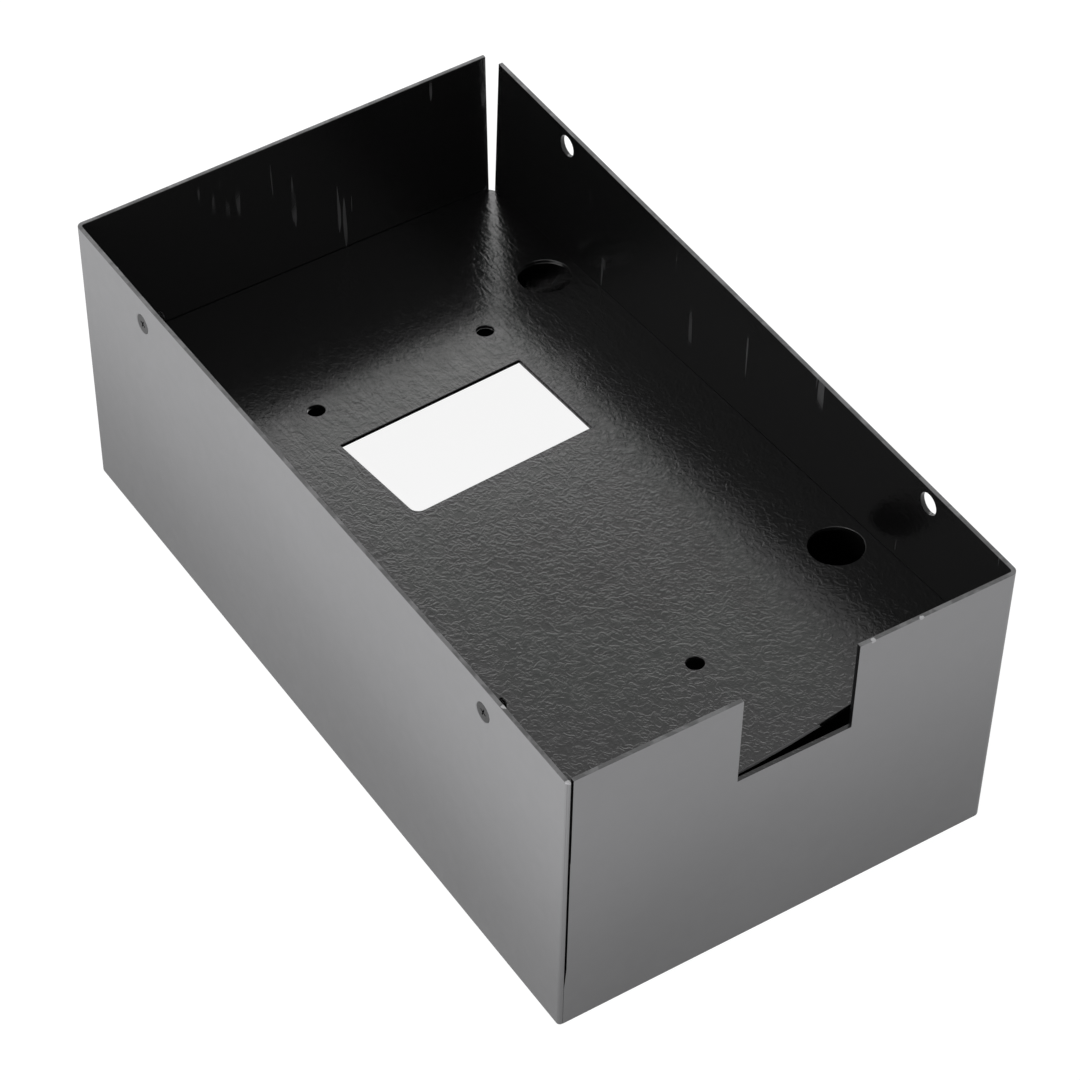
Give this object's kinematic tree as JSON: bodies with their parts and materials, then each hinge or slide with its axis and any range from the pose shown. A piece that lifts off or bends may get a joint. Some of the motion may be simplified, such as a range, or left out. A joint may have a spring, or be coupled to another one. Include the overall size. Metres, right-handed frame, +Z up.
{
  "type": "sheet metal chassis",
  "caption": "Open-topped rectangular box of folded sheet with a sloping inner shelf that has a rectangular cut-out and round holes, and a notch in its front wall.",
  "frame": {"origin": "middle of the overall footprint, in the plane of the walls' lower edges", "axes": "+Z up, +Y along the length from the notched front wall to the back wall, +X across the width to the wall with two clear holes"},
  "size_m": [0.13, 0.2338, 0.0868],
  "materials": {
    "black_paint": "gloss, brushed on",
    "screw_metal": "dull"
  },
  "bodies": {
    "root": {"left_back_sheet": "black_paint", "front_right_sheet": "black_paint", "shelf": "black_paint", "wall_screws": "screw_metal"}
  },
  "joints": []
}
